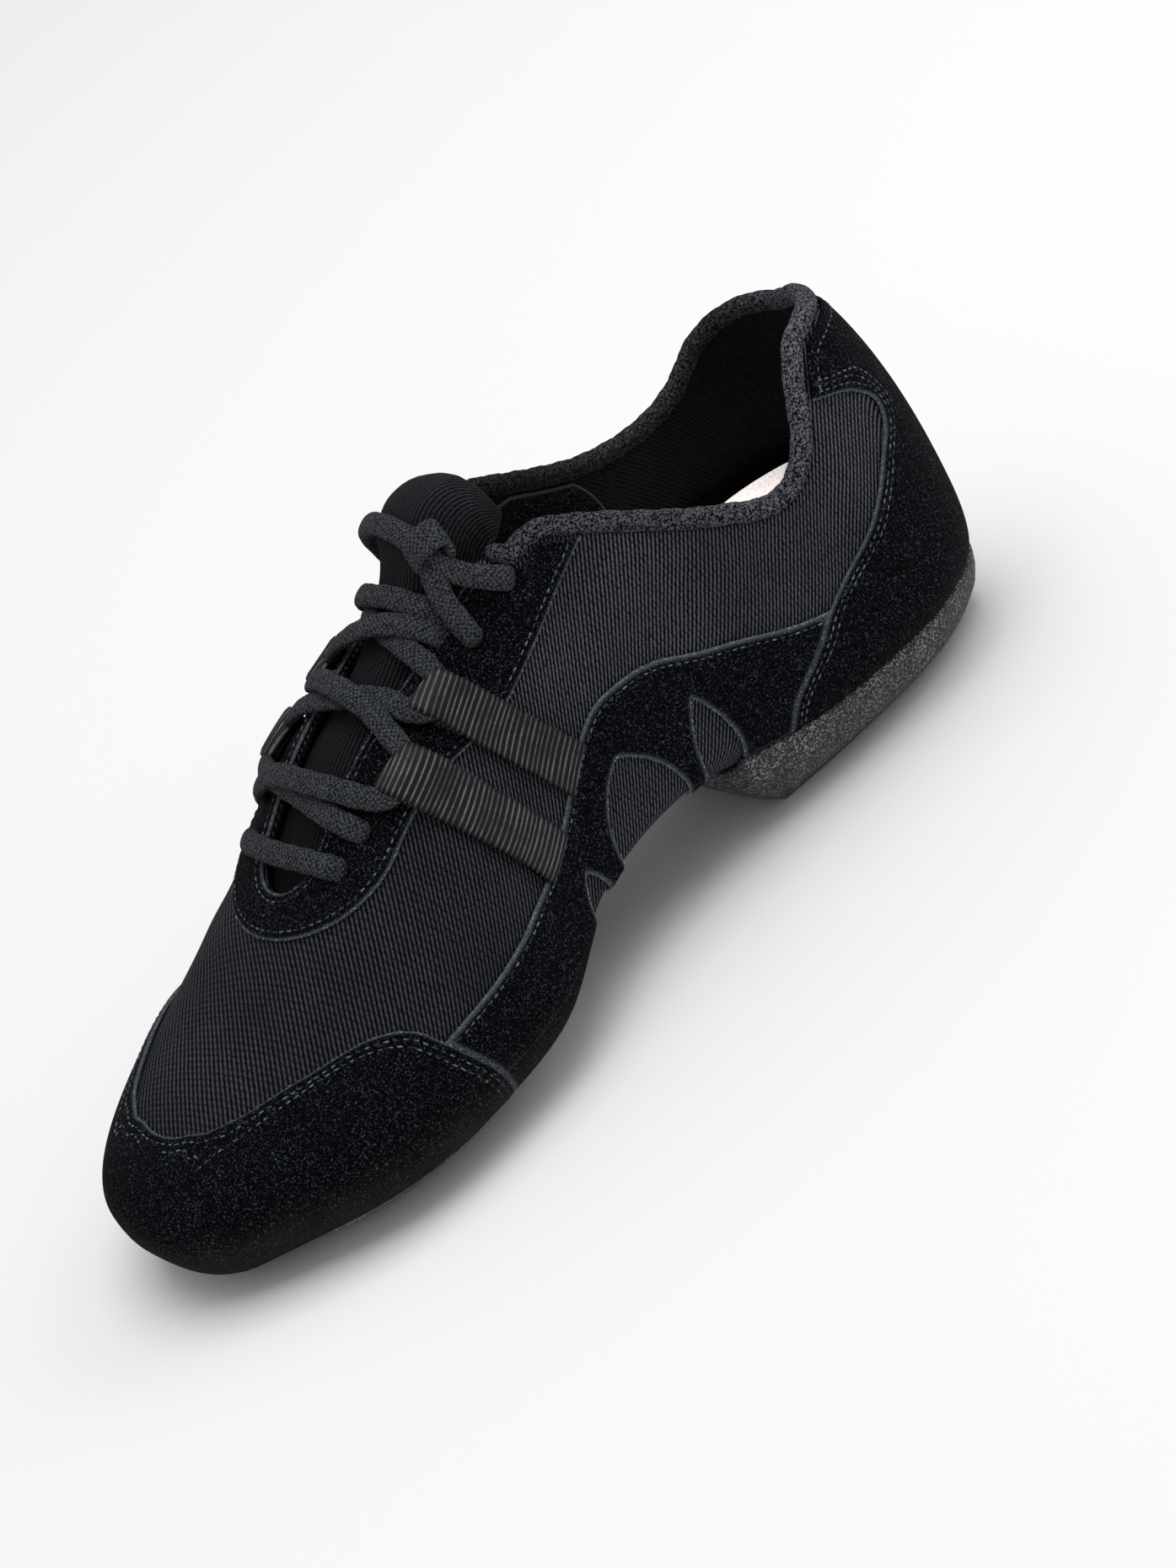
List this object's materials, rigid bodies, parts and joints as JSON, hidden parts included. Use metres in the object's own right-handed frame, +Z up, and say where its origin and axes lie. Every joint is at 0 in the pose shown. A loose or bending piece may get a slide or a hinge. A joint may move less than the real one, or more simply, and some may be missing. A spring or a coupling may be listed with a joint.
{
  "type": "jazz shoe",
  "caption": "Low lace-up dance shoe for the left foot with a split sole, a fabric upper, suede overlays, tape lace loops and a padded tongue.",
  "frame": {"origin": "on the floor, at the middle of the heel rubber's flat underside", "axes": "+X to the toe, +Y to the outer side of the left foot, +Z up"},
  "size_m": [0.267, 0.0989, 0.1159],
  "materials": {
    "fabric": "ribbed twill, charcoal black",
    "suede": "black suede with lighter raw edges",
    "binding": "knitted piping, black",
    "tongue": "padded knit, black",
    "insole": "pale pinkish white lining cloth",
    "rubber": "matte dark charcoal rubber with a fine pyramid tread",
    "tape": "ribbed grosgrain tape, charcoal",
    "lace": "soft flat woven lace, charcoal"
  },
  "bodies": {
    "root": {"upper": "fabric", "toe_cap": "suede", "heel_counter": "suede", "side_panel_lateral": "suede", "side_panel_medial": "suede", "eyestay": "suede", "outsole_forefoot": "rubber", "outsole_heel": "rubber", "insole": "insole", "collar_binding": "binding", "tongue": "tongue", "lace_tape_upper_lateral": "tape", "lace_tape_upper_medial": "tape", "lace_tape_lower_lateral": "tape", "lace_tape_lower_medial": "tape", "lace_bar_front": "lace", "lace_crossing_lower": "lace", "lace_crossing_middle": "lace", "lace_crossing_upper": "lace", "lace_knot": "lace", "lace_run_lateral_top": "lace", "lace_run_lateral_low": "lace", "lace_run_medial_top": "lace"}
  },
  "joints": []
}
